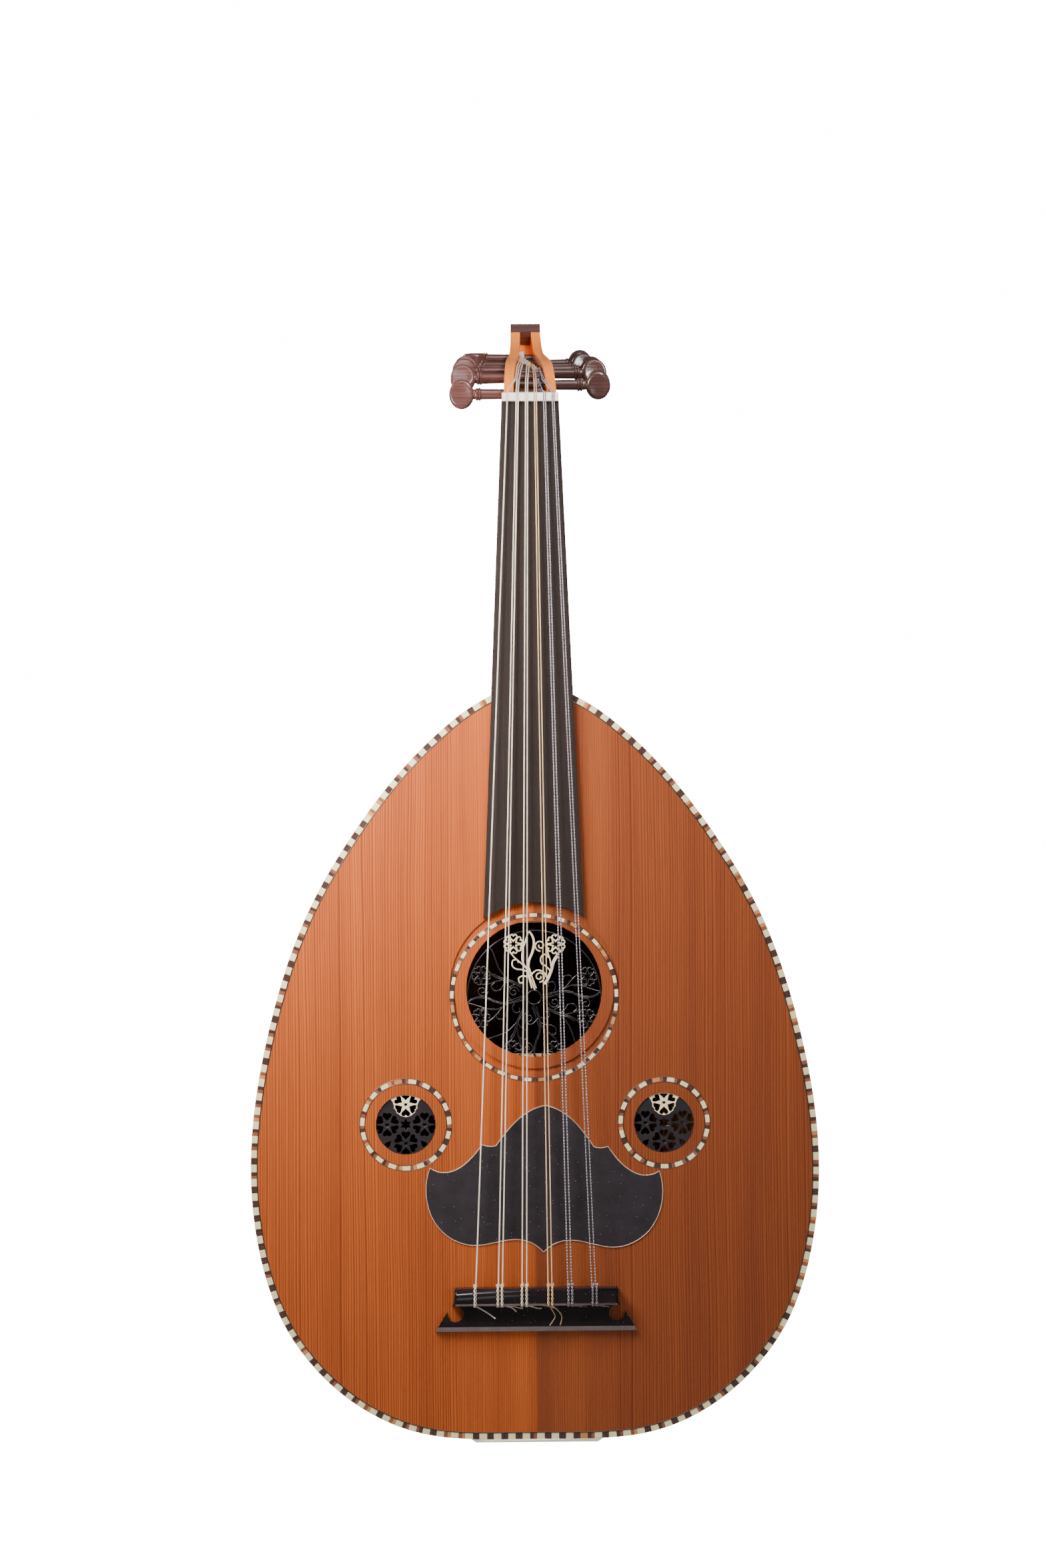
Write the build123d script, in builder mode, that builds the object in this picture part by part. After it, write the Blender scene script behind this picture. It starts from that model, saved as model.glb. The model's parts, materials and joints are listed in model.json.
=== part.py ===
"""Eleven-string oud with a ribbed bowl, three rosettes and a bent-back pegbox.

Millimetres.  +Z runs up the neck, the face looks towards -Y and the bowl bulges towards +Y.
The origin is where the end clasp touches the ground, in the plane of the face.
"""
import os
from math import cos, radians, sin

from build123d import *

# Strings, counted from the bass side (-X)
string_length = 585
nut_z = 685
nut_height = 5.7
string_y_nut = -3.7
string_y_bridge = -8.0
string_x_nut = [-15.1, -9.2, -7.9, -3.0, -1.7, 2.8, 4.1, 8.8, 10.1, 14.5, 15.7]
string_x_bridge = [-40.2, -25.3, -22.6, -9.5, -6.4, 7.8, 10.4, 21.0, 23.5, 36.9, 39.5]
string_x_peg = [-3.3, -2.0, -0.8, 0.5, 1.7, 2.9, 4.1, 5.2, 6.4, 7.0, 8.0]
string_radius = [0.55, 0.48, 0.48, 0.45, 0.45, 0.40, 0.40, 0.42, 0.42, 0.36, 0.36]
string_x_entry = [-9.6, -8.4, -7.0, -2.6, -1.3, 2.8, 4.1, 7.0, 8.0, 8.3, 9.6]
string_peg = [11, 10, 9, 8, 7, 6, 5, 2, 1, 4, 3]

# Face and bowl
face_bottom = 2.2
joint_z = 492
joint_half_width = 27
outline_points = [
    (90, 10.6), (121.5, 27.5), (142, 45.5), (162, 71.5), (179.4, 115.5), (187, 190),
    (174.4, 273.5), (151.4, 343.5), (121.8, 396.5), (80.6, 449.5), (62, 467.3), (43.5, 483),
    (joint_half_width, joint_z),
]
neck_tangent = (-0.88, 0.47)
board_thickness = 2.0
edge_band = 4.0
plank_joint_x = 52
rib_thickness = 2.4
rib_count = 15
pole_hole = 1.5
fit_gap = 0.05
clasp_radius = 46

# Sound holes, the ring inlaid around each one, and the rosettes inside them
main_hole_z = 298.4
main_hole_radius = 44.7
main_ring = (52.6, 55.6)
small_hole_x = 85
small_hole_z = 209.6
small_hole_radius = 19.7
small_ring = (26.7, 30.4)
ring_depth = 0.8
rosette_front = 0.5
rosette_thickness = 1.4

# Neck, fingerboard and nut
nut_half_width = 18.65
nut_rise = 4.3
neck_depth_at_nut = 18.5
fingerboard_thickness = 2.0
fingerboard_foot_z = 344
fingerboard_foot_half = 33.0

# Pegbox: its open edge runs back from the nut in an arc, a straight and a second arc.
# The angles are measured from the neck's own direction.
box_z = nut_z + nut_height
box_angle_start = 45
box_angle_middle = 80
box_angle_end = 45
box_bend_length = 60
box_straight_length = 60
box_curl_length = 42
box_half_width_start = 17.4
box_half_width_end = 10.2
box_depth_start = 20
box_depth_end = 15
box_floor = 3.6
cheek_thickness = 6.4
finial_length = 9.5

# Pegs, counted from the nut; the odd ones have their heads on the -X side
peg_first = 10
peg_spacing = 13
peg_depth = 8
peg_shaft_wide = 3.55
peg_shaft_narrow = 2.8
peg_shaft_outside = 15.5
peg_collar_radius = 4.3
peg_clearance = 0.06
peg_head_length = 16.5
peg_head_width = 19.5
peg_head_thickness = 8.4
peg_reach = [36.5, 37.5, 36.5, 37, 36.5, 36.5, 36.5, 33.5, 36.5, 33.5, 33]
peg_turn = [0, 18, 24, -12, 35, 40, 30, -20, 55, 25, 84]

# Bridge
bridge_foot_z = 73.3
bridge_foot_half = 66.4
bridge_bar_z = 91
bridge_top_z = nut_z - string_length + 2.5
bridge_bar_half = 54.3
bridge_base_height = 4.2
bridge_bar_height = 10.8

face_plane = Plane.XZ
side_plane = Plane.YZ
os.makedirs("parts", exist_ok=True)


def save(part, name):
    part.label = name
    export_step(part, f"parts/{name}.step")


def ring_face(radii, centre):
    """A flat ring lying in the face, added to the sketch being drawn."""
    with Locations(centre):
        Circle(radii[1])
        Circle(radii[0], mode=Mode.SUBTRACT)


# ------------------------------------------------------------------ outline of the face
def side_points(inset, steps=24):
    """Points up the face's right side, from tail to neck, drawn in by an amount."""
    side = Spline((0, face_bottom), *outline_points, tangents=((1, 0), neck_tangent), mode=Mode.PRIVATE)
    points = []
    for step in range(steps + 1):
        along = side % (step / steps)
        points.append(side @ (step / steps) + inset * Vector(-along.Y, along.X))
    return points


def inset_face(inset):
    """The face drawn in by an amount all round, except at the neck joint."""
    points = side_points(inset)
    with BuildSketch(face_plane) as outline:
        with BuildLine():
            Spline(*points, tangents=((1, 0), neck_tangent))
            Polyline(points[-1], (points[-1].X, joint_z + 0.001), (0, joint_z + 0.001))
            mirror(about=Plane.YZ)
        make_face()
    return outline.sketch


def bowl_profile(inset):
    """Half of the face, drawn in by an amount at its curved side only."""
    points = side_points(inset)
    with BuildSketch(face_plane) as profile:
        with BuildLine():
            Spline(*points, tangents=((1, 0), neck_tangent))
            Polyline(points[-1], (points[-1].X, joint_z + 0.001), (0, joint_z + 0.001), points[0])
        make_face()
    return profile.sketch


whole_face = inset_face(0)
inside_band = inset_face(edge_band)
band_hole = inset_face(edge_band - fit_gap)
bowl_outside = bowl_profile(0)
bowl_inside = bowl_profile(rib_thickness)
hole_centres = [(0, main_hole_z), (-small_hole_x, small_hole_z), (small_hole_x, small_hole_z)]
hole_radii = [main_hole_radius, small_hole_radius, small_hole_radius]
ring_radii = [main_ring, small_ring, small_ring]

# ------------------------------------------------------------------ soundboard
with BuildPart() as soundboard:
    with BuildSketch(face_plane):
        add(inside_band)
    extrude(amount=-board_thickness)
    with BuildSketch(face_plane):
        for centre, radius in zip(hole_centres, hole_radii):
            with Locations(centre):
                Circle(radius)
    extrude(amount=-board_thickness, mode=Mode.SUBTRACT)
    with BuildSketch(face_plane):
        for centre, radii in zip(hole_centres, ring_radii):
            ring_face((radii[0] - fit_gap, radii[1] + fit_gap), centre)
    extrude(amount=-ring_depth, mode=Mode.SUBTRACT)

# The board is four planks, jointed edge to edge
plank_joints = [-200, -plank_joint_x, 0, plank_joint_x, 200]
plank_names = ["outer_left", "inner_left", "inner_right", "outer_right"]
for plank_name, left_joint, right_joint in zip(plank_names, plank_joints, plank_joints[1:]):
    with BuildPart() as plank:
        add(soundboard.part)
        split(bisect_by=side_plane.offset(left_joint), keep=Keep.TOP)
        split(bisect_by=side_plane.offset(right_joint), keep=Keep.BOTTOM)
    save(plank.part, f"soundboard_{plank_name}")

with BuildPart() as edge_purfling:
    with BuildSketch(face_plane):
        add(whole_face)
        add(band_hole, mode=Mode.SUBTRACT)
    extrude(amount=-board_thickness)
save(edge_purfling.part, "edge_purfling")

with BuildPart() as soundhole_rings:
    with BuildSketch(face_plane):
        for centre, radii in zip(hole_centres, ring_radii):
            ring_face(radii, centre)
    extrude(amount=-(ring_depth - fit_gap))
save(soundhole_rings.part, "soundhole_rings")


# ------------------------------------------------------------------ rosettes
def flower(radius, wall, petals=6):
    """Ring-shaped petals around a small disc, at the sketch's current location."""
    with PolarLocations(radius * 0.62, petals):
        Circle(radius * 0.38)
    with PolarLocations(radius * 0.62, petals):
        Circle(radius * 0.38 - wall, mode=Mode.SUBTRACT)


flower_angles = 22.5
main_flower_ring = 36.6
main_flower_radius = 6.6
small_cell_ring = 12.2
small_cell_radius = 6.6
strip_width = 1.2


def main_rosette_face():
    """Eight flowers on stems around a central ring, with a curl on every stem."""
    with BuildSketch() as pattern:
        ring_face((41.8, main_hole_radius - fit_gap), (0, 0))
        ring_face((20.4, 20.4 + strip_width), (0, 0))
        ring_face((4.2, 4.2 + strip_width), (0, 0))
        with PolarLocations(18, 8, start_angle=flower_angles):
            Rectangle(26.4, strip_width)
        with PolarLocations(12.6, 8, start_angle=flower_angles):
            Circle(3.9)
        with PolarLocations(12.6, 8, start_angle=flower_angles):
            Circle(3.9 - strip_width, mode=Mode.SUBTRACT)
        with PolarLocations(main_flower_ring, 8, start_angle=flower_angles):
            flower(main_flower_radius, strip_width)
    return pattern.sketch


def small_rosette_face():
    """Four flower cells around a smaller one."""
    with BuildSketch() as pattern:
        ring_face((18.2, small_hole_radius - fit_gap), (0, 0))
        with PolarLocations(small_cell_ring, 4):
            flower(small_cell_radius, 0.65)
        flower(5.9, 0.65)
    return pattern.sketch


def wedge_face():
    """The light-coloured part of the main rosette: a V standing on its centre."""
    with BuildSketch() as wedge:
        with BuildLine():
            Polyline((0, 0), (40, 45.2), (-40, 45.2), close=True)
        make_face()
    return wedge.sketch


def cell_face():
    """The light-coloured part of a small rosette: its topmost cell."""
    with BuildSketch() as cell:
        with Locations((0, small_cell_ring)):
            Circle(small_cell_radius + 0.1)
    return cell.sketch


rosette_plane = Plane.XZ.offset(-rosette_front)
rosette_names = ["main_rosette", "left_rosette", "right_rosette"]
patterns = [main_rosette_face(), small_rosette_face(), small_rosette_face()]
light_areas = [wedge_face(), cell_face(), cell_face()]
for name, centre, pattern, light in zip(rosette_names, hole_centres, patterns, light_areas):
    with BuildPart() as rosette:
        with BuildSketch(rosette_plane):
            with Locations(centre):
                add(pattern)
                add(light, mode=Mode.SUBTRACT)
        extrude(amount=-rosette_thickness)
    save(rosette.part, name)

with BuildPart() as rosette_light_inlays:
    for centre, pattern, light in zip(hole_centres, patterns, light_areas):
        with BuildSketch(rosette_plane):
            with Locations(centre):
                add(pattern)
                add(light, mode=Mode.INTERSECT)
        extrude(amount=-rosette_thickness)
save(rosette_light_inlays.part, "rosette_light_inlays")

# ------------------------------------------------------------------ pickguard
guard_shift = 5.9
guard_turn = -1.2
guard_thickness = 0.4
guard_centre_z = 165
with BuildSketch() as guard_outline:
    with BuildLine():
        crown = Spline((0, 221.6), (14.6, 215), (26.1, 203.2), (32.3, 194.7))
        shoulder = Spline((32.3, 194.7), (37.2, 194.2), (41.5, 195.2))
        scoop = Spline((41.5, 195.2), (51.3, 183.4), (62.3, 177), (75.5, 179.4))
        lobe = Spline((75.5, 179.4), (77.9, 163.7), (67.8, 138.5), (47, 128.9), (21, 133), (0, 125.1))
        mirror(about=Plane.YZ)
    make_face()

with BuildPart() as pickguard:
    with BuildSketch(face_plane):
        with Locations(Location((guard_shift, guard_centre_z, 0), (0, 0, guard_turn))):
            add(Pos(0, -guard_centre_z, 0) * guard_outline.sketch)
    extrude(amount=guard_thickness)
save(pickguard.part, "pickguard")

# ------------------------------------------------------------------ bowl
half_turn = 180


with BuildPart() as cavity:
    revolve(bowl_inside, Axis.Z, half_turn)

with BuildPart() as bowl_wall:
    revolve(bowl_outside, Axis.Z, half_turn)
    add(cavity.part, mode=Mode.SUBTRACT)
    Cylinder(pole_hole, 40, mode=Mode.SUBTRACT)
    with Locations((0, board_thickness - 5, joint_z / 2)):
        Box(500, 10, joint_z + 50, mode=Mode.SUBTRACT)

# The ribs are staves of equal angle that meet at the tail and at the neck
rib_angle = half_turn / rib_count
for number in range(rib_count):
    with BuildPart() as rib:
        add(bowl_wall.part)
        split(bisect_by=side_plane.rotated((0, 0, (number + 1) * rib_angle - 90)), keep=Keep.TOP)
        split(bisect_by=side_plane.rotated((0, 0, number * rib_angle - 90)), keep=Keep.BOTTOM)
    save(rib.part, f"rib_{number + 1:02d}")


def inside_bowl(width, low_z, high_z, depth, name):
    """A block filling the bowl's inside between two heights, to a depth behind the face."""
    with BuildPart() as block:
        with Locations((0, board_thickness + depth / 2, (low_z + high_z) / 2)):
            Box(width, depth, high_z - low_z)
        add(cavity.part, mode=Mode.INTERSECT)
    save(block.part, name)


inside_bowl(84, joint_z - 32, joint_z, 60, "neck_block")
inside_bowl(110, 0, 20, 45, "tail_block")

brace_heights = [62, 118, 156, 252, 345, 385, 425]
brace_width = 6
brace_depth = 12
with BuildPart() as soundboard_braces:
    for height in brace_heights:
        with Locations((0, board_thickness + brace_depth / 2, height)):
            Box(400, brace_depth, brace_width)
    add(cavity.part, mode=Mode.INTERSECT)
save(soundboard_braces.part, "soundboard_braces")

# The end clasp caps the tail, where the ribs meet, and carries the instrument's weight
with BuildPart() as end_clasp:
    with BuildSketch(face_plane):
        with BuildLine():
            Polyline((0, 0), (clasp_radius - 6, 0), (clasp_radius, 4), (0, 4), close=True)
        make_face()
        add(bowl_outside, mode=Mode.SUBTRACT)
    revolve(axis=Axis.Z, revolution_arc=half_turn)
    Cylinder(clasp_radius + 10, 40, mode=Mode.INTERSECT)
save(end_clasp.part, "end_clasp")

# ------------------------------------------------------------------ neck, fingerboard, nut

def d_section(half_width, depth):
    """Half-round section of the neck, flat at the face."""
    with BuildSketch() as section:
        with BuildLine():
            Line((-half_width, 0), (half_width, 0))
            EllipticalCenterArc((0, 0), half_width, depth, start_angle=0, arc_size=180)
        make_face()
    return section.sketch


with BuildPart() as neck:
    loft([
        Pos(0, 0, joint_z) * d_section(joint_half_width, joint_half_width),
        Pos(0, 0, box_z) * d_section(nut_half_width, neck_depth_at_nut),
    ])
    neck_end = Plane(
        origin=(0, 0, box_z),
        z_dir=(0, sin(radians(box_angle_start)), cos(radians(box_angle_start))),
    )
    split(bisect_by=neck_end, keep=Keep.BOTTOM)
save(neck.part, "neck")

with BuildPart() as fingerboard:
    with BuildSketch(face_plane):
        with BuildLine():
            Polyline(
                (nut_half_width, nut_z), (fingerboard_foot_half, fingerboard_foot_z),
                (-fingerboard_foot_half, fingerboard_foot_z), (-nut_half_width, nut_z), close=True,
            )
        make_face()
        with Locations((0, main_hole_z)):
            Circle(main_ring[1] + 1.4, mode=Mode.SUBTRACT)
    extrude(amount=fingerboard_thickness)
save(fingerboard.part, "fingerboard")

with BuildPart() as nut:
    with BuildSketch(Plane.XY.offset(nut_z)):
        with Locations((0, -nut_rise / 2)):
            Rectangle(2 * nut_half_width, nut_rise)
    extrude(amount=nut_height)
    fillet(nut.edges().filter_by(Axis.X).group_by(Axis.Y)[0], 0.9)
    for x, radius in zip(string_x_nut, string_radius):
        with Locations((x, string_y_nut - 0.5, nut_z + nut_height / 2)):
            Box(2 * radius + 0.1, 1 + 2 * radius + 0.1, 2 * nut_height, mode=Mode.SUBTRACT)
save(nut.part, "nut")


# ------------------------------------------------------------------ pegbox
def box_direction(angle):
    return Vector(sin(radians(angle)), cos(radians(angle)))


bend_radius = box_bend_length / radians(box_angle_middle - box_angle_start)
curl_radius = box_curl_length / radians(box_angle_middle - box_angle_end)
with BuildLine() as box_edge:
    bend = JernArc((0, box_z), box_direction(box_angle_start), bend_radius,
                   box_angle_start - box_angle_middle)
    run = Line(bend @ 1, bend @ 1 + box_straight_length * (bend % 1))
    curl = JernArc(run @ 1, run % 1, curl_radius, box_angle_middle - box_angle_end)
open_edge = box_edge.wires()[0]
box_length = open_edge.length


def below_edge(distance, depth):
    """The point of the pegbox's side view at a distance from the nut and a depth below its edge."""
    point = open_edge.position_at(distance, position_mode=PositionMode.LENGTH)
    along = open_edge.tangent_at(distance, position_mode=PositionMode.LENGTH)
    return Vector(point.X + depth * along.Y, point.Y - depth * along.X)


def back_edge(shallower):
    """Points of the closed back, or of the floor's inner side, from the far end to the nut."""
    stations = [box_length * step / 6 for step in range(6, -1, -1)]
    points = []
    for station in stations:
        depth = box_depth_start + (box_depth_end - box_depth_start) * station / box_length
        points.append(below_edge(station, depth - shallower))
    return points


with BuildSketch() as cheek_side:
    with BuildLine():
        add(box_edge.line)
        far_side = Line(box_edge.line @ 1, back_edge(0)[0])
        back = Spline(*back_edge(0))
        Line(back @ 1, box_edge.line @ 0)
    make_face()

with BuildSketch() as floor_side:
    with BuildLine():
        inner = Spline(*back_edge(box_floor))
        outer = Spline(*back_edge(0))
        Line(inner @ 0, outer @ 0)
        Line(inner @ 1, outer @ 1)
    make_face()

box_taper_run = below_edge(box_length, 0).X
box_taper = (box_half_width_start - box_half_width_end) / box_taper_run


def box_half_width(y):
    return box_half_width_start - box_taper * y


cheek_plane = Plane(origin=(box_half_width_start, 0, 0), x_dir=(-box_taper, 1, 0), z_dir=(1, box_taper, 0))


def peg_centre(number):
    return below_edge(peg_first + peg_spacing * (number - 1), peg_depth)


def peg_side(number):
    """-1 when the peg's head is on the bass side, +1 on the treble side."""
    return -1 if number % 2 == 1 else 1


def peg_shaft_profile(number, clearance):
    """Half section of a peg's tapered shaft, from its collar to the far cheek's outer face."""
    half_width = box_half_width(peg_centre(number).X)
    with BuildSketch() as profile:
        with BuildLine():
            Polyline(
                (-half_width, 0), (half_width + peg_shaft_outside, 0),
                (half_width + peg_shaft_outside, peg_shaft_wide + clearance),
                (-half_width, peg_shaft_narrow + clearance), close=True,
            )
        make_face()
    return profile.sketch


def at_peg(number):
    """Where a peg sits: its axis along X, its head pointing out of its own side."""
    centre = peg_centre(number)
    return Location((0, centre.X, centre.Y), (0, 0, 0 if peg_side(number) > 0 else 180))


peg_numbers = range(1, len(peg_reach) + 1)
with BuildPart() as peg_holes:
    for number in peg_numbers:
        centre = peg_centre(number)
        profile = at_peg(number) * peg_shaft_profile(number, peg_clearance)
        revolve(profile, Axis((0, centre.X, centre.Y), (1, 0, 0)), 360)

with BuildPart() as right_cheek:
    with BuildSketch(cheek_plane):
        add(cheek_side.sketch)
    extrude(amount=-cheek_thickness)
    split(bisect_by=neck_end, keep=Keep.TOP)
    add(peg_holes.part, mode=Mode.SUBTRACT)
with BuildPart() as left_cheek:
    with BuildSketch(cheek_plane):
        add(cheek_side.sketch)
    extrude(amount=-cheek_thickness)
    split(bisect_by=neck_end, keep=Keep.TOP)
    mirror(about=side_plane, mode=Mode.REPLACE)
    add(peg_holes.part, mode=Mode.SUBTRACT)
save(right_cheek.part, "pegbox_right_cheek")
save(left_cheek.part, "pegbox_left_cheek")

# The floor closes the box's back, cut to the taper between the cheeks
right_inner_plane = cheek_plane.offset(-cheek_thickness)
with BuildPart() as pegbox_back:
    with BuildSketch(side_plane):
        add(floor_side.sketch)
    extrude(amount=box_half_width_start, both=True)
    split(bisect_by=right_inner_plane, keep=Keep.BOTTOM)
    mirror(about=side_plane, mode=Mode.INTERSECT)
save(pegbox_back.part, "pegbox_back")

with BuildPart() as pegbox_finial:
    with BuildSketch(side_plane):
        with BuildLine():
            along = box_direction(box_angle_end) * finial_length
            front = below_edge(box_length, -0.8)
            rear = below_edge(box_length, box_depth_end + 0.6)
            Polyline(front, front + along, rear + along, rear, close=True)
        make_face()
    extrude(amount=box_half_width_end + 0.1, both=True)
    fillet(pegbox_finial.edges().filter_by(Axis.X).group_by(Axis.Z)[-1], 1.5)
save(pegbox_finial.part, "pegbox_finial")


# ------------------------------------------------------------------ pegs
def make_peg(number):
    """A peg along +X about the origin, its head's flat sides facing along Y."""
    half_width = box_half_width(peg_centre(number).X)
    collar = half_width + peg_shaft_outside
    tip = half_width + peg_reach[number - 1]
    head_start = tip - peg_head_length
    with BuildPart() as peg:
        revolve(peg_shaft_profile(number, 0), Axis.X, 360)
        with BuildSketch():
            with BuildLine():
                Polyline(
                    (collar, 0), (collar, 3.9), (collar + 0.5, peg_collar_radius),
                    (collar + 1.3, peg_collar_radius), (collar + 1.7, 3.7),
                    (collar + 2.1, peg_collar_radius), (collar + 2.9, peg_collar_radius),
                    (collar + 3.5, 3.4), (head_start + 3, 3.1), (head_start + 3, 0), close=True,
                )
            make_face()
        revolve(axis=Axis.X)
    with BuildPart() as head:
        with BuildSketch(Plane.XZ.offset(-peg_head_thickness / 2)):
            with Locations((tip - peg_head_length / 2, 0)):
                Ellipse(peg_head_length / 2, peg_head_width / 2)
        extrude(amount=peg_head_thickness)
        fillet(head.edges(), 2.6)
        for side in (-1, 1):
            with Locations((tip - peg_head_length / 2 + 1, side * (27.5 + peg_head_thickness / 2 - 1), 0)):
                Sphere(27.5, mode=Mode.SUBTRACT)
    return peg.part + Rotation(peg_turn[number - 1], 0, 0) * head.part


for number in peg_numbers:
    save(at_peg(number) * make_peg(number), f"peg_{number:02d}")

# ------------------------------------------------------------------ bridge
def string_run(x_bridge, x_nut):
    """Direction of a string from the bridge to the nut."""
    return Vector(x_nut - x_bridge, string_y_nut - string_y_bridge, nut_z - bridge_bar_z)


notch_radius = 5.5
notch_centre = (53.2, 85.3)
with BuildPart() as bridge:
    with BuildSketch(face_plane):
        with BuildLine():
            right_points = [(bridge_foot_half, bridge_foot_z), (60.3, 83.8),
                            (bridge_bar_half, 91.8), (bridge_bar_half - 1, bridge_top_z)]
            left_points = [(-x, z) for x, z in reversed(right_points)]
            Polyline(*right_points, *left_points, close=True)
        make_face()
        with Locations(notch_centre, (-notch_centre[0], notch_centre[1])):
            Circle(notch_radius, mode=Mode.SUBTRACT)
    extrude(amount=bridge_base_height)
    foot = bridge.edges().filter_by(Axis.X).group_by(Axis.Z)[0].group_by(Axis.Y)[0]
    chamfer(foot, 3, 3.4)
    with BuildSketch(face_plane.offset(bridge_base_height)):
        with Locations((0, (bridge_bar_z + bridge_top_z) / 2)):
            RectangleRounded(2 * bridge_bar_half - 1, bridge_top_z - bridge_bar_z, 1.6)
    extrude(amount=bridge_bar_height - bridge_base_height)
    bar_front = bridge.faces().sort_by(Axis.Y)[0]
    chamfer(bar_front.edges(), 1.6)
    for x, x_nut, radius in zip(string_x_bridge, string_x_nut, string_radius):
        with Locations(Plane(origin=(x, string_y_bridge, bridge_bar_z), z_dir=string_run(x, x_nut))):
            Cylinder(radius + 0.3, 40, mode=Mode.SUBTRACT)
save(bridge.part, "bridge")


# ------------------------------------------------------------------ strings
def box_point(x, distance, depth):
    point = below_edge(distance, depth)
    return Vector(x, point.X, point.Y)


clear_depth = peg_depth - peg_shaft_wide - 0.9
entry_distance = 14
for number, (x_bridge, x_nut, x_peg) in enumerate(zip(string_x_bridge, string_x_nut, string_x_peg), 1):
    radius = string_radius[number - 1]
    last_peg = string_peg[number - 1]
    last_distance = peg_first + peg_spacing * (last_peg - 1)
    entry_x = string_x_entry[number - 1]
    points = [
        Vector(x_bridge, string_y_bridge, bridge_bar_z - 1),
        Vector(x_nut, string_y_nut, nut_z + 0.5),
        Vector(x_nut, string_y_nut, nut_z + nut_height + 0.2),
    ]
    if last_peg > 2:
        points.append(box_point(entry_x, entry_distance, -0.9))
    for passed in range(3, last_peg):
        distance = peg_first + peg_spacing * (passed - 1)
        share = (distance - entry_distance) / (last_distance - entry_distance)
        points.append(box_point(entry_x + (x_peg - entry_x) * share, distance, clear_depth))
    touch_depth = peg_depth - peg_shaft_wide - radius - 0.35
    points.append(box_point(x_peg, last_distance, touch_depth))
    with BuildPart() as string:
        with BuildLine():
            route = Polyline(*points)
        with BuildSketch(Plane(origin=route @ 0, z_dir=route % 0)):
            Circle(radius)
        sweep(transition=Transition.RIGHT)
    save(string.part, f"string_{number:02d}")
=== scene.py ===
import bpy
import bmesh
import json
import math
import random
from mathutils import Matrix, Vector


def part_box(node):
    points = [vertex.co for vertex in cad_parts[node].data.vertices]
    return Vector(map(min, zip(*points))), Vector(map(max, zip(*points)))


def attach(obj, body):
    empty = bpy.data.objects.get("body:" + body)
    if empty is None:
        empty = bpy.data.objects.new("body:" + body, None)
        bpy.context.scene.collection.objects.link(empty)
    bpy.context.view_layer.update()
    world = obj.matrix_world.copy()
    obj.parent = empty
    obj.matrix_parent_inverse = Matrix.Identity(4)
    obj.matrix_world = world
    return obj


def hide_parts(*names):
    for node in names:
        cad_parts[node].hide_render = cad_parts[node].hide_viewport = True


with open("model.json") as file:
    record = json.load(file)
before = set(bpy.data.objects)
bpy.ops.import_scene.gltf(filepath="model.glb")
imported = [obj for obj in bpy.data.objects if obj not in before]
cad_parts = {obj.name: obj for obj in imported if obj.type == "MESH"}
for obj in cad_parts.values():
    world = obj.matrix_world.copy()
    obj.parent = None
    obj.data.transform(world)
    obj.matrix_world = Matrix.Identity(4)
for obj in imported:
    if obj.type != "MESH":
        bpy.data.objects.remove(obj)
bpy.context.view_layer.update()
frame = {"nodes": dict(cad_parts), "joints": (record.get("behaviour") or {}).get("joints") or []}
nodes = frame["nodes"]
mm = 0.001
print("frame loaded, nodes:", len(nodes))

# camera: level with a long lens, a little to the left and rolled by a fraction of a degree
camera = {"distance": 2.6, "height": 0.4333, "side": -0.052, "turnDegrees": 1.005, "lens": 90.7,
          "rollDegrees": 0.39, "sensor": 36, "clipEnd": 60}


def makeCamera():
    data = bpy.data.cameras.new("camera")
    data.sensor_width = camera["sensor"]
    data.lens = camera["lens"]
    data.clip_end = camera["clipEnd"]
    eye = bpy.data.objects.new("camera", data)
    eye.location = (camera["side"], -camera["distance"], camera["height"])
    sideTurn = Matrix.Rotation(math.radians(-camera["turnDegrees"]), 4, "Z")
    roll = Matrix.Rotation(math.radians(-camera["rollDegrees"]), 4, "Z")
    eye.rotation_euler = (sideTurn @ Matrix.Rotation(math.radians(90), 4, "X") @ roll).to_euler()
    bpy.context.collection.objects.link(eye)
    bpy.context.scene.camera = eye


lights = {
    "leftSoftbox": {"at": (-0.30, -0.24, 0.60), "aim": (-0.05, 0, 0.36), "size": 0.2, "power": 6.4,
                    "tint": (1, 0.98, 0.95)},
    "frontFill": {"at": (1.0, -1.5, 0.35), "aim": (0.04, 0, 0.2), "size": 0.9, "power": 6.5,
                  "tint": (0.97, 0.98, 1)},
    "topStrip": {"at": (0.0, -0.75, 1.75), "aim": (0, 0.06, 0.68), "size": 0.7, "power": 6,
                 "tint": (1, 1, 1)},
    "pegboxLight": {"at": (0.22, -0.3, 1.0), "aim": (0, 0.08, 0.71), "size": 0.16, "power": 3.6,
                    "tint": (1, 0.99, 0.97)},
    "backLeft": {"at": (-1.5, 1.9, 1.5), "aim": (0, 0.1, 0.4), "size": 1.0, "power": 30, "tint": (1, 1, 1)},
    "backRight": {"at": (1.7, 1.6, 1.1), "aim": (0, 0.1, 0.4), "size": 1.0, "power": 18, "tint": (1, 1, 1)},
}
room = {"floorTone": 0.22, "floorRoughness": 0.6, "floorHalf": 9, "worldTone": (1, 1, 1), "ambient": 0.13,
        "whiteBackdrop": 16.0, "floorSeen": 16.0}


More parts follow.
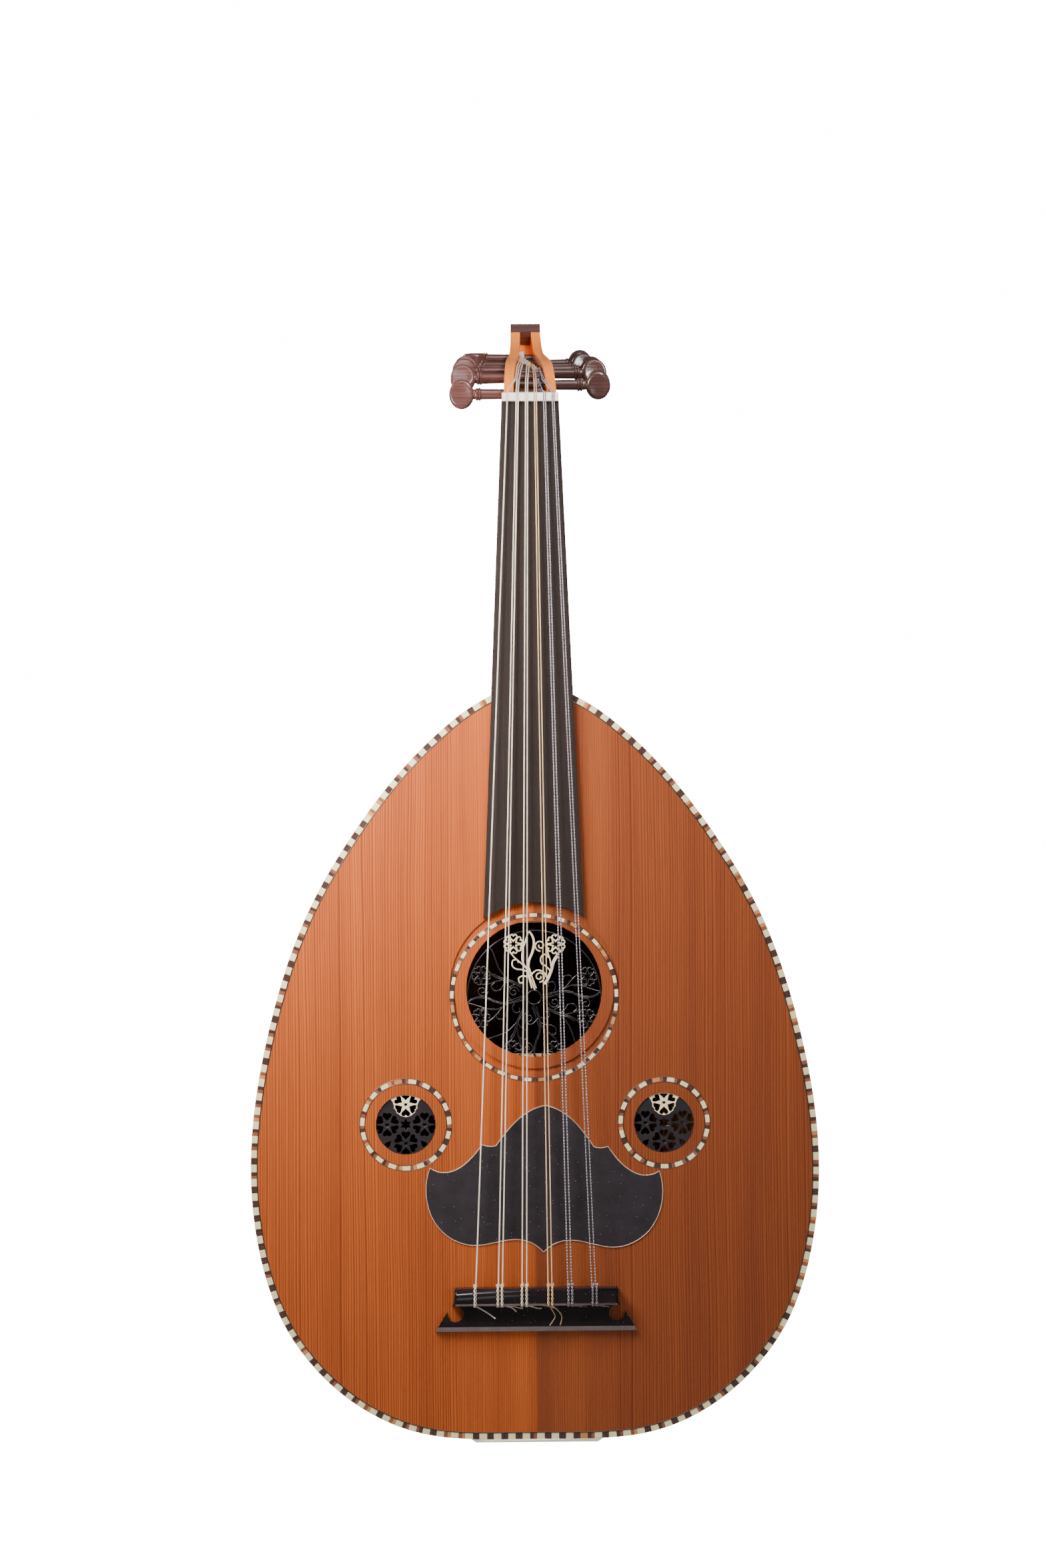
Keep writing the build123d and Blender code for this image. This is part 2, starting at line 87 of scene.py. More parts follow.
def makeRoom():
    for name, light in lights.items():
        data = bpy.data.lights.new(name, "AREA")
        data.shape = "SQUARE"
        data.size = light["size"]
        data.energy = light["power"]
        data.color = light["tint"]
        lamp = bpy.data.objects.new(name, data)
        lamp.location = light["at"]
        lamp.visible_camera = False
        aim = Vector(light["aim"]) - Vector(light["at"])
        lamp.rotation_euler = aim.to_track_quat("-Z", "Y").to_euler()
        bpy.context.collection.objects.link(lamp)
    world = bpy.data.worlds.new("studio")
    world.use_nodes = True
    background = world.node_tree.nodes["Background"]
    background.inputs["Color"].default_value = (*room["worldTone"], 1)
    # the backdrop is burnt out to white where the camera sees it, and a dim fill everywhere else
    seen = world.node_tree.nodes.new("ShaderNodeLightPath").outputs["Is Camera Ray"]
    level = world.node_tree.nodes.new("ShaderNodeMapRange")
    level.inputs["To Min"].default_value = room["ambient"]
    level.inputs["To Max"].default_value = room["whiteBackdrop"]
    world.node_tree.links.new(seen, level.inputs["Value"])
    world.node_tree.links.new(level.outputs["Result"], background.inputs["Strength"])
    bpy.context.scene.world = world
    bm = bmesh.new()
    bmesh.ops.create_grid(bm, x_segments=1, y_segments=1, size=room["floorHalf"])
    mesh = bpy.data.meshes.new("floor")
    bm.to_mesh(mesh)
    bm.free()
    floor = bpy.data.objects.new("floor", mesh)
    bpy.context.collection.objects.link(floor)
    material = bpy.data.materials.new("paleFloor")
    material.use_nodes = True
    surface = material.node_tree.nodes["Principled BSDF"]
    surface.inputs["Base Color"].default_value = (*[room["floorTone"]] * 3, 1)
    surface.inputs["Roughness"].default_value = room["floorRoughness"]
    surface.inputs["Emission Color"].default_value = (1, 1, 1, 1)
    seenFloor = material.node_tree.nodes.new("ShaderNodeLightPath").outputs["Is Camera Ray"]
    glow = material.node_tree.nodes.new("ShaderNodeMath")
    glow.operation = "MULTIPLY"
    glow.inputs[1].default_value = room["floorSeen"]
    material.node_tree.links.new(seenFloor, glow.inputs[0])
    material.node_tree.links.new(glow.outputs[0], surface.inputs["Emission Strength"])
    mesh.materials.append(material)


# shader groups shared by the materials

def newGroup(name, inputs, outputs):
    tree = bpy.data.node_groups.new(name, "ShaderNodeTree")
    for label, kind, value in inputs:
        socket = tree.interface.new_socket(label, in_out="INPUT", socket_type=kind)
        if value is not None:
            socket.default_value = value
    for label, kind in outputs:
        tree.interface.new_socket(label, in_out="OUTPUT", socket_type=kind)
    return tree, tree.nodes.new("NodeGroupInput"), tree.nodes.new("NodeGroupOutput")


def put(tree, kind, links=None, **settings):
    node = tree.nodes.new(kind)
    for name, value in settings.items():
        setattr(node, name, value)
    for name, value in (links or {}).items():
        socket = node.inputs[name]
        if isinstance(value, bpy.types.NodeSocket):
            tree.links.new(value, socket)
        else:
            socket.default_value = value
    return node


def sums(tree, operation, *values):
    node = put(tree, "ShaderNodeMath", operation=operation)
    for place, value in enumerate(values):
        if isinstance(value, bpy.types.NodeSocket):
            tree.links.new(value, node.inputs[place])
        else:
            node.inputs[place].default_value = value
    return node.outputs[0]


def blendColours(tree, factor, first, second, mode="MIX"):
    node = put(tree, "ShaderNodeMix", data_type="RGBA", blend_type=mode)
    for place, value in ((0, factor), (6, first), (7, second)):
        if isinstance(value, bpy.types.NodeSocket):
            tree.links.new(value, node.inputs[place])
        else:
            node.inputs[place].default_value = value if place == 0 else (*value, 1)
    return node.outputs[2]


def ramp(tree, factor, *stops):
    node = put(tree, "ShaderNodeMapRange", {"Value": factor, "From Min": stops[0], "From Max": stops[1],
                                            "To Min": stops[2], "To Max": stops[3]})
    return node.outputs["Result"]


# wood whose grain runs along the vector's Z and whose rings are stacked along its X, in metres
def makeGrainGroup():
    tree, given, gives = newGroup("woodGrain", [
        ("Vector", "NodeSocketVector", None), ("Ring Spacing", "NodeSocketFloat", 0.0015),
        ("Wander", "NodeSocketFloat", 0.0006), ("Seed", "NodeSocketFloat", 0.0),
    ], [("Rings", "NodeSocketFloat"), ("Fibres", "NodeSocketFloat"), ("Clouds", "NodeSocketFloat"),
        ("Pores", "NodeSocketFloat")])
    split = put(tree, "ShaderNodeSeparateXYZ", {"Vector": given.outputs["Vector"]})
    x, y, z = split.outputs
    slow = put(tree, "ShaderNodeCombineXYZ", {"X": sums(tree, "MULTIPLY", x, 22), "Y": given.outputs["Seed"],
                                              "Z": sums(tree, "MULTIPLY", z, 3.2)})
    bend = put(tree, "ShaderNodeTexNoise", {"Vector": slow.outputs[0], "Scale": 1, "Detail": 2})
    offset = sums(tree, "MULTIPLY", sums(tree, "SUBTRACT", bend.outputs["Fac"], 0.5), given.outputs["Wander"])
    shifted = sums(tree, "ADD", x, sums(tree, "MULTIPLY", offset, 8))
    count = sums(tree, "DIVIDE", shifted, given.outputs["Ring Spacing"])
    uneven = put(tree, "ShaderNodeTexNoise",
                 {"W": sums(tree, "MULTIPLY", count, 0.35), "Scale": 1, "Detail": 1},
                 noise_dimensions="1D")
    phase = sums(tree, "FRACT", sums(tree, "ADD", count, sums(tree, "MULTIPLY", uneven.outputs["Fac"], 1.6)))
    rise = sums(tree, "POWER", phase, 2.2)
    fall = ramp(tree, phase, 0.9, 1.0, 1.0, 0.0)
    tree.links.new(sums(tree, "MULTIPLY", rise, fall), gives.inputs["Rings"])
    thin = put(tree, "ShaderNodeCombineXYZ",
               {"X": sums(tree, "MULTIPLY", shifted, 2600), "Y": sums(tree, "MULTIPLY", y, 900),
                                              "Z": sums(tree, "MULTIPLY", z, 26)})
    fibres = put(tree, "ShaderNodeTexNoise",
                 {"Vector": thin.outputs[0], "Scale": 1, "Detail": 3, "Roughness": 0.6})
    tree.links.new(fibres.outputs["Fac"], gives.inputs["Fibres"])
    wide = put(tree, "ShaderNodeCombineXYZ",
               {"X": sums(tree, "MULTIPLY", shifted, 60), "Y": given.outputs["Seed"],
                                              "Z": sums(tree, "MULTIPLY", z, 2.2)})
    clouds = put(tree, "ShaderNodeTexNoise",
                 {"Vector": wide.outputs[0], "Scale": 1, "Detail": 4, "Roughness": 0.55})
    tree.links.new(clouds.outputs["Fac"], gives.inputs["Clouds"])
    dots = put(tree, "ShaderNodeCombineXYZ",
               {"X": sums(tree, "MULTIPLY", x, 3000), "Y": sums(tree, "MULTIPLY", y, 3000),
                                              "Z": sums(tree, "MULTIPLY", z, 160)})
    pores = put(tree, "ShaderNodeTexNoise", {"Vector": dots.outputs[0], "Scale": 1, "Detail": 1})
    tree.links.new(ramp(tree, pores.outputs["Fac"], 0.62, 0.75, 0.0, 1.0), gives.inputs["Pores"])
    return tree


# hand polish: broad rubbed patches and fine specks of dust
def makePolishGroup():
    tree, given, gives = newGroup("polish", [
        ("Vector", "NodeSocketVector", None), ("Roughness", "NodeSocketFloat", 0.3),
        ("Spread", "NodeSocketFloat", 0.1),
    ], [("Roughness", "NodeSocketFloat"), ("Specks", "NodeSocketFloat"), ("Height", "NodeSocketFloat")])
    patches = put(tree, "ShaderNodeTexNoise", {"Vector": given.outputs["Vector"], "Scale": 38, "Detail": 4})
    centred = sums(tree, "SUBTRACT", patches.outputs["Fac"], 0.5)
    rough = sums(tree, "ADD", given.outputs["Roughness"],
                 sums(tree, "MULTIPLY", centred, given.outputs["Spread"]))
    tree.links.new(rough, gives.inputs["Roughness"])
    dust = put(tree, "ShaderNodeTexVoronoi", {"Vector": given.outputs["Vector"], "Scale": 330})
    tree.links.new(ramp(tree, dust.outputs["Distance"], 0.05, 0.11, 1.0, 0.0), gives.inputs["Specks"])
    ripple = put(tree, "ShaderNodeTexNoise", {"Vector": given.outputs["Vector"], "Scale": 900, "Detail": 2})
    tree.links.new(ripple.outputs["Fac"], gives.inputs["Height"])
    return tree


grainGroup = makeGrainGroup()
polishGroup = makePolishGroup()


def startMaterial(name, roughness=0.4, coat=0.0, coatRoughness=0.1, specular=0.5):
    material = bpy.data.materials.new(name)
    material.use_nodes = True
    tree = material.node_tree
    surface = tree.nodes["Principled BSDF"]
    surface.inputs["Roughness"].default_value = roughness
    surface.inputs["Coat Weight"].default_value = coat
    surface.inputs["Coat Roughness"].default_value = coatRoughness
    surface.inputs["Specular IOR Level"].default_value = specular
    place = put(tree, "ShaderNodeTexCoord").outputs["Object"]
    return material, tree, surface, place


def placedGroup(tree, group, **values):
    node = put(tree, "ShaderNodeGroup", node_tree=group)
    for name, value in values.items():
        socket = node.inputs[name.replace("_", " ")]
        if isinstance(value, bpy.types.NodeSocket):
            tree.links.new(value, socket)
        else:
            socket.default_value = value
    return node


def finishSurface(tree, surface, place, colour, roughness, spread, height, bumpDistance):
    polish = placedGroup(tree, polishGroup, Vector=place, Roughness=roughness, Spread=spread)
    tree.links.new(colour, surface.inputs["Base Color"])
    tree.links.new(polish.outputs["Roughness"], surface.inputs["Roughness"])
    heights = sums(tree, "ADD", height, sums(tree, "MULTIPLY", polish.outputs["Height"], 0.15))
    bump = put(tree, "ShaderNodeBump", {"Height": heights, "Distance": bumpDistance, "Strength": 1})
    tree.links.new(bump.outputs["Normal"], surface.inputs["Normal"])


# any wood: two tones, darker ring lines, fibres, clouds and pores; turn lays the grain along the piece
def woodMaterial(name, light, dark, ringTone, spacing=0.0016, wander=0.0005, seed=0.0, rings=0.6, clouds=1.0,
                 fibres=0.3, pores=0.0, roughness=0.35, spread=0.12, coat=0.3, bump=0.00004, turn=(0, 0, 0),
                 coatRoughness=0.12, side=None, specular=0.5):
    material, tree, surface, place = startMaterial(name, roughness, coat, coatRoughness, specular)
    turned = put(tree, "ShaderNodeMapping", {"Vector": place, "Rotation": [math.radians(a) for a in turn]})
    grain = placedGroup(tree, grainGroup, Vector=turned.outputs[0], Ring_Spacing=spacing, Wander=wander,
                        Seed=seed)
    cloudy = ramp(tree, grain.outputs["Clouds"], 0.5 - 0.22 / max(clouds, 0.01),
                  0.5 + 0.22 / max(clouds, 0.01), 0.0, 1.0)
    base = blendColours(tree, cloudy, light, dark)
    # side darkens the piece past an x position by a multiplied tone; on the cedar board this is painted shade
    if side:
        across = put(tree, "ShaderNodeSeparateXYZ", {"Vector": place})
        share = ramp(tree, across.outputs["X"], side["from"], side["to"], 0.0, 1.0)
        base = blendColours(tree, share, base, blendColours(tree, 1.0, base, side["tone"], "MULTIPLY"))
    lined = blendColours(tree, sums(tree, "MULTIPLY", grain.outputs["Rings"], rings), base, ringTone)
    speckle = ramp(tree, grain.outputs["Fibres"], 0.3, 0.7, 1 - fibres, 1 + 0.5 * fibres)
    shade = put(tree, "ShaderNodeCombineColor", {"Red": speckle, "Green": speckle, "Blue": speckle})
    tinted = blendColours(tree, 1.0, lined, shade.outputs[0], "MULTIPLY")
    if pores:
        tinted = blendColours(tree, sums(tree, "MULTIPLY", grain.outputs["Pores"], pores), tinted,
                              tuple(c * 0.35 for c in dark))
    height = sums(tree, "ADD", sums(tree, "MULTIPLY", grain.outputs["Rings"], 0.8),
                  sums(tree, "MULTIPLY", grain.outputs["Fibres"], 0.3))
    finishSurface(tree, surface, place, tinted, roughness, spread, height, bump)
    return material


# lacquer, veneer, bone and plastic: one tone, slightly uneven, with dust specks
def plainMaterial(name, tone, second, roughness=0.2, spread=0.08, coat=0.0, bump=0.00001, specks=0.0,
                  speckTone=(0.3, 0.28, 0.27), patchScale=60, specular=0.5):
    material, tree, surface, place = startMaterial(name, roughness, coat, 0.05, specular)
    patches = put(tree, "ShaderNodeTexNoise",
                  {"Vector": place, "Scale": patchScale, "Detail": 4, "Roughness": 0.6})
    colour = blendColours(tree, ramp(tree, patches.outputs["Fac"], 0.35, 0.65, 0.0, 1.0), tone, second)
    polish = placedGroup(tree, polishGroup, Vector=place, Roughness=roughness, Spread=spread)
    if specks:
        colour = blendColours(tree, sums(tree, "MULTIPLY", polish.outputs["Specks"], specks), colour,
                              speckTone)
    tree.links.new(colour, surface.inputs["Base Color"])
    tree.links.new(polish.outputs["Roughness"], surface.inputs["Roughness"])
    bumpNode = put(tree, "ShaderNodeBump", {"Height": polish.outputs["Height"], "Distance": bump,
                                            "Strength": 1})
    tree.links.new(bumpNode.outputs["Normal"], surface.inputs["Normal"])
    return material


# pieces

def keep(name, mesh, material, body="body", replaces=(), smoothDegrees=35):
    piece = bpy.data.objects.new(name, mesh)
    bpy.context.collection.objects.link(piece)
    if material is not None:
        for one in material if isinstance(material, (list, tuple)) else [material]:
            mesh.materials.append(one)
    if smoothDegrees:
        mesh.shade_smooth()
        mesh.set_sharp_from_angle(angle=math.radians(smoothDegrees))
    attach(piece, body)
    if replaces:
        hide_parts(*replaces)
    return piece


def meshFrom(bm, name):
    mesh = bpy.data.meshes.new(name)
    bm.to_mesh(mesh)
    bm.free()
    return mesh


# a copy of a CAD node with its faces joined and shaded smooth; faces that the given test picks out get the
# second material of a pair, which on the bridge is a painted highlight
def joinedCopy(node, name, material, body="body", degrees=35, highlighted=None):
    bm = bmesh.new()
    bm.from_mesh(nodes[node].data)
    bmesh.ops.remove_doubles(bm, verts=bm.verts, dist=0.000002)
    bmesh.ops.dissolve_limit(bm, angle_limit=math.radians(0.6), verts=bm.verts, edges=bm.edges)
    for face in bm.faces:
        face.material_index = 1 if highlighted and highlighted(face.normal) else 0
    return keep(name, meshFrom(bm, name), material, body, (node,), degrees)


def curveMesh(name, paths, radius, resolution=2):
    data = bpy.data.curves.new(name, "CURVE")
    data.dimensions = "3D"
    data.bevel_depth = radius
    data.bevel_resolution = resolution
    data.use_fill_caps = True
    for points, closed in paths:
        spline = data.splines.new("POLY")
        spline.points.add(len(points) - 1)
        for place, point in zip(spline.points, points):
            place.co = (*point, 1)
        spline.use_cyclic_u = closed
    curve = bpy.data.objects.new(name, data)
    mesh = bpy.data.meshes.new_from_object(curve)
    bpy.data.objects.remove(curve)
    mesh.name = name
    return mesh


def chainsOf(edges):
    links = {}
    for edge in edges:
        for here, there in (edge.verts, reversed(edge.verts[:])):
            links.setdefault(here, []).append(there)
    chains = []
    left = set(links)
    while left:
        ends = [v for v in left if len(links[v]) == 1]
        here = min(ends or left, key=lambda v: (v.co.x, v.co.z))
        chain = [here]
        left.discard(here)
        while True:
            following = [v for v in links[here] if v in left]
            if not following:
                break
            here = following[0]
            left.discard(here)
            chain.append(here)
        chains.append([v.co.copy() for v in chain])
    return chains


# the rims of a node's front face, as chains of points
def frontRims(node, skip=lambda edge: False):
    bm = bmesh.new()
    bm.from_mesh(nodes[node].data)
    bmesh.ops.remove_doubles(bm, verts=bm.verts, dist=0.000002)
    front = {f for f in bm.faces if f.normal.y < -0.99}
    rims = [e for e in bm.edges if sum(f in front for f in e.link_faces) == 1 and not skip(e)]
    chains = chainsOf(rims)
    bm.free()
    return chains


def lengths(points):
    total = [0.0]
    for a, b in zip(points, points[1:]):
        total.append(total[-1] + (b - a).length)
    return total


def alongPath(points, total, distance):
    for place in range(len(points) - 1):
        if total[place + 1] >= distance or place == len(points) - 2:
            run = max(total[place + 1] - total[place], 1e-9)
            step = (points[place + 1] - points[place]) / run
            return points[place] + step * (distance - total[place]), step.normalized()


# finishes

# the board's right half is multiplied by a darker tone: painted shade standing in for the run-out sheen of
# the bookmatched halves, which really shifts with the light
cedar = {
    "lightLeft": (0.56, 0.120, 0.022), "darkLeft": (0.41, 0.085, 0.019), "line": (0.085, 0.014, 0.006),
    "rightHalfShade": (0.60, 0.68, 1.0), "jointWidth": 0.0008, "outerSpacing": 0.0016, "innerSpacing": 0.0014,
}


def cedarMaterial(name, spacing, rings, seed, clouds):
    return woodMaterial(name, cedar["lightLeft"], cedar["darkLeft"], cedar["line"], spacing=spacing,
                        wander=0.0009,
                        seed=seed, rings=rings, clouds=clouds, fibres=0.16, roughness=0.5, spread=0.1,
                        coat=0.08,
                        coatRoughness=0.3, bump=0.00005, specular=0.16,
                        # painted shade: the right half of the board darkened as a fixed tone
                        side={"from": -cedar["jointWidth"], "to": cedar["jointWidth"],
                              "tone": cedar["rightHalfShade"]})


finish = {
    "outerCedar": cedarMaterial("outerCedar", cedar["outerSpacing"], 0.95, 3.1, 0.9),
    "innerCedar": cedarMaterial("innerCedar", cedar["innerSpacing"], 0.55, 7.7, 1.2),
    "darkRosewood": woodMaterial("darkRosewood", (0.105, 0.042, 0.034), (0.05, 0.02, 0.017),
                                 (0.018, 0.008, 0.007),
                                 spacing=0.0022, wander=0.0016, rings=0.7, clouds=1.6, fibres=0.3, pores=0.35,
                                 roughness=0.3, coat=0.5, turn=(0, 90, 0)),
    "redRosewood": woodMaterial("redRosewood", (0.175, 0.068, 0.056), (0.095, 0.034, 0.030),
                                (0.04, 0.016, 0.015),
                                spacing=0.0026, wander=0.0018, seed=4.0, rings=0.8, clouds=1.6, fibres=0.3,
                                pores=0.3,
                                roughness=0.3, coat=0.3, specular=0.4, turn=(0, 90, 0)),
    "finialRosewood": woodMaterial("finialRosewood", (0.14, 0.066, 0.06), (0.07, 0.032, 0.03),
                                   (0.02, 0.01, 0.01),
                                   spacing=0.003, wander=0.001, rings=0.5, clouds=1.4, roughness=0.3,
                                   coat=0.5,
                                   turn=(0, 90, 0)),
    "stainedMaple": woodMaterial("stainedMaple", (1.0, 0.29, 0.045), (0.86, 0.21, 0.03), (0.6, 0.13, 0.02),
                                 spacing=0.0034, wander=0.001, rings=0.3, clouds=1.0, fibres=0.12,
                                 roughness=0.25,
                                 coat=0.2, coatRoughness=0.1, turn=(50, 0, 0), specular=0.18),
    "ebony": woodMaterial("ebony", (0.040, 0.026, 0.022), (0.024, 0.016, 0.014), (0.022, 0.016, 0.016),
                          spacing=0.0011, wander=0.0004, rings=0.4, clouds=1.0, fibres=0.25, pores=0.25,
                          roughness=0.5, coat=0.02, bump=0.00003, specular=0.22),
    "neckWood": woodMaterial("neckWood", (0.17, 0.062, 0.034), (0.11, 0.038, 0.021), (0.055, 0.02, 0.012),
                             spacing=0.0024, rings=0.4, clouds=1.2, roughness=0.3, coat=0.5),
    "ribWalnut": woodMaterial("ribWalnut", (0.30, 0.12, 0.055), (0.19, 0.068, 0.032), (0.085, 0.03, 0.015),
                              spacing=0.0036, wander=0.0022, seed=1.0, rings=0.6, clouds=1.5, fibres=0.25,
                              pores=0.35,
                              roughness=0.25, coat=0.7, coatRoughness=0.08),
    "ribRosewood": woodMaterial("ribRosewood", (0.155, 0.055, 0.036), (0.085, 0.03, 0.021),
                                (0.035, 0.013, 0.01),
                                spacing=0.003, wander=0.002, seed=9.0, rings=0.7, clouds=1.6, fibres=0.25,
                                pores=0.35,
                                roughness=0.25, coat=0.7, coatRoughness=0.08),
    "spruce": woodMaterial("spruce", (0.72, 0.52, 0.32), (0.62, 0.42, 0.24), (0.42, 0.25, 0.12),
                           spacing=0.0016,
                           rings=0.5, roughness=0.6, coat=0.0, turn=(0, 90, 0)),
    "creamTile": woodMaterial("creamTile", (1.0, 0.90, 0.52), (0.97, 0.82, 0.42), (0.74, 0.54, 0.28),
                              spacing=0.0012,
                              rings=0.25, fibres=0.08, roughness=0.35, coat=0.3),
    "darkTile": woodMaterial("darkTile", (0.095, 0.038, 0.026), (0.055, 0.024, 0.018), (0.025, 0.012, 0.01),
                             spacing=0.0008, rings=0.5, roughness=0.35, coat=0.3),
    "brownTile": woodMaterial("brownTile", (0.36, 0.12, 0.05), (0.25, 0.08, 0.034), (0.13, 0.04, 0.018),
                              spacing=0.0008,
                              rings=0.5, roughness=0.35, coat=0.3),
    "orangeTile": woodMaterial("orangeTile", (0.70, 0.30, 0.09), (0.58, 0.23, 0.07), (0.4, 0.15, 0.05),
                               spacing=0.0009,
                               rings=0.3, roughness=0.35, coat=0.3),
    "blackRosette": plainMaterial("blackRosette", (0.020, 0.016, 0.018), (0.030, 0.025, 0.028), 0.25, 0.1,
                                  coat=0.2,
                                  specular=0.4),
    "lightRosette": plainMaterial("lightRosette", (1.0, 0.87, 0.56), (0.94, 0.78, 0.46), 0.38, 0.1, coat=0.2),
    "blackLacquer": plainMaterial("blackLacquer", (0.010, 0.006, 0.007), (0.016, 0.010, 0.011), 0.16, 0.05,
                                  coat=0.12,
                                  specks=0.5, specular=0.18),
    # paler lacquer for the bridge's down-facing bevels: a painted highlight standing in for the floor's
    # reflection
    "bevelHighlightLacquer": plainMaterial("bevelHighlightLacquer", (0.26, 0.20, 0.20), (0.34, 0.27, 0.27), 0.3, 0.1, coat=0.3),
    "blackVeneer": plainMaterial("blackVeneer", (0.026, 0.021, 0.024), (0.036, 0.029, 0.034), 0.6, 0.1,
                                 specks=0.6,
                                 bump=0.00002, specular=0.12),
    "paleEdge": plainMaterial("paleEdge", (0.75, 0.48, 0.33), (0.62, 0.36, 0.24), 0.4, 0.1),
    "blackLine": plainMaterial("blackLine", (0.03, 0.016, 0.012), (0.045, 0.022, 0.017), 0.4, 0.1),
    "bone": plainMaterial("bone", (0.96, 0.87, 0.80), (0.90, 0.79, 0.70), 0.3, 0.1, coat=0.4, patchScale=160),
    "claspWood": plainMaterial("claspWood", (0.88, 0.80, 0.66), (0.80, 0.70, 0.55), 0.35, 0.1, coat=0.4,
                               patchScale=90),
}


# strings: the wound ones carry fine turns of wire, counted along the string
def stringMaterial(name, tone, second, turn, roughness, metallic, transmission=0.0):
    material, tree, surface, place = startMaterial(name, roughness, 0.2, 0.1)
    split = put(tree, "ShaderNodeSeparateXYZ", {"Vector": place})
    wave = sums(tree, "SINE", sums(tree, "MULTIPLY", split.outputs["Z"], 2 * math.pi / turn))
    patches = put(tree, "ShaderNodeTexNoise", {"Vector": place, "Scale": 240, "Detail": 3})
    mix = sums(tree, "ADD", sums(tree, "MULTIPLY", wave, 0.3), patches.outputs["Fac"])
    tree.links.new(blendColours(tree, mix, tone, second), surface.inputs["Base Color"])
    bump = put(tree, "ShaderNodeBump", {"Height": wave, "Distance": turn * 0.12, "Strength": 1})
    tree.links.new(bump.outputs["Normal"], surface.inputs["Normal"])
    surface.inputs["Metallic"].default_value = metallic
    if transmission:
        surface.inputs["Transmission Weight"].default_value = transmission
    return material


finish["silverWound"] = stringMaterial("silverWound", (0.93, 0.84, 0.70), (0.82, 0.70, 0.55), 0.0004, 0.3,
                                       0.35)
finish["creamString"] = stringMaterial("creamString", (0.94, 0.82, 0.66), (0.84, 0.68, 0.50), 0.0003, 0.3,
                                       0.3)
finish["goldString"] = stringMaterial("goldString", (0.86, 0.60, 0.34), (0.74, 0.46, 0.22), 0.0003, 0.3, 0.3)
finish["clearString"] = stringMaterial("clearString", (0.52, 0.47, 0.50), (0.42, 0.37, 0.42), 0.002, 0.12,
                                       0.0, 0.35)
stringFinish = ["silverWound"] + ["creamString"] * 4 + ["goldString"] * 2 + ["clearString"] * 4
print("finishes made:", len(finish))


# bowl: staves with thin stringing between them

bowl = {"ribs": 15, "stringRadius": 0.00045, "stringSink": 0.0003}


def makeBowl():
    for number in range(1, bowl["ribs"] + 1):
        wood = "ribWalnut" if number % 2 else "ribRosewood"
        joinedCopy(f"rib_{number:02d}", f"stave_{number:02d}", finish[wood], degrees=30)
    half = [p for p in boardPath if p.x >= 0]
    half.sort(key=lambda p: p.z)
    lines = []
    for joint in range(1, bowl["ribs"]):
        angle = math.pi * joint / bowl["ribs"]
        reach = bowl["stringSink"]
        lines.append(([Vector(((p.x - reach) * math.cos(angle), (p.x - reach) * math.sin(angle), p.z))
                       for p in half if p.x > 0.004], False))
    keep("bowlStringing", curveMesh("bowlStringing", lines, bowl["stringRadius"], 1), finish["creamTile"])


# the face's outline, read from the outer wall of the edge band
def outerRim():
    middle = Vector((0, 0, 0.2))

    def isInner(edge):
        walls = [f for f in edge.link_faces if abs(f.normal.y) < 0.5]
        if not walls:
            return True
        at = edge.verts[0].co
        normal = walls[0].normal
        underNeck = at.z > 0.4915 and abs(normal.z) > 0.97 and abs(at.x) < 0.032
        return normal.dot(at - middle) < 0 or underNeck

    chains = frontRims("edge_purfling", isInner)
    longest = max(chains, key=len)
    if longest[0].x > longest[-1].x:
        longest.reverse()
    return longest


boardPath = outerRim()
print("outline read, points:", len(boardPath), "from", tuple(round(v, 4) for v in boardPath[0]),
      "to", tuple(round(v, 4) for v in boardPath[-1]))


# tiles: the edge band and the rings round the holes

edgeBand = {"width": 0.004, "thickness": 0.0019, "cream": 0.0050, "dark": 0.0045, "seed": 5,
            "bevel": 0.00018, "lineWidth": 0.0004}
rings = {
    "main": {"node": "main_rosette", "inner": 0.0530, "outer": 0.0554, "cream": 0.0050, "dark": 0.0042,
             "seed": 11},
    "left": {"node": "left_rosette", "inner": 0.0272, "outer": 0.0301, "cream": 0.0051, "dark": 0.0043,
             "seed": 12},
    "right": {"node": "right_rosette", "inner": 0.0272, "outer": 0.0301, "cream": 0.0051, "dark": 0.0043,
              "seed": 13},
}
tileWoods = ["creamTile", "darkTile", "brownTile", "orangeTile"]


def addTile(bm, centre, along, length, width, thickness, wood, bevel):
    up = Vector((0, -1, 0))
    across = along.cross(up).normalized()
    turn = Matrix((along, across, up)).transposed().to_4x4()
    size = Matrix.Diagonal((length, width, thickness, 1))
    made = bmesh.ops.create_cube(bm, size=1, matrix=Matrix.Translation(centre) @ turn @ size)
    front = [e for e in {e for v in made["verts"] for e in v.link_edges}
             if all((v.co - centre).dot(up) > 0 for v in e.verts)]
    for face in {f for v in made["verts"] for f in v.link_faces}:
        face.material_index = wood
    bmesh.ops.bevel(bm, geom=front, offset=bevel, offset_type="OFFSET", affect="EDGES", segments=1,
                    profile=0.5,
                    material=-1)


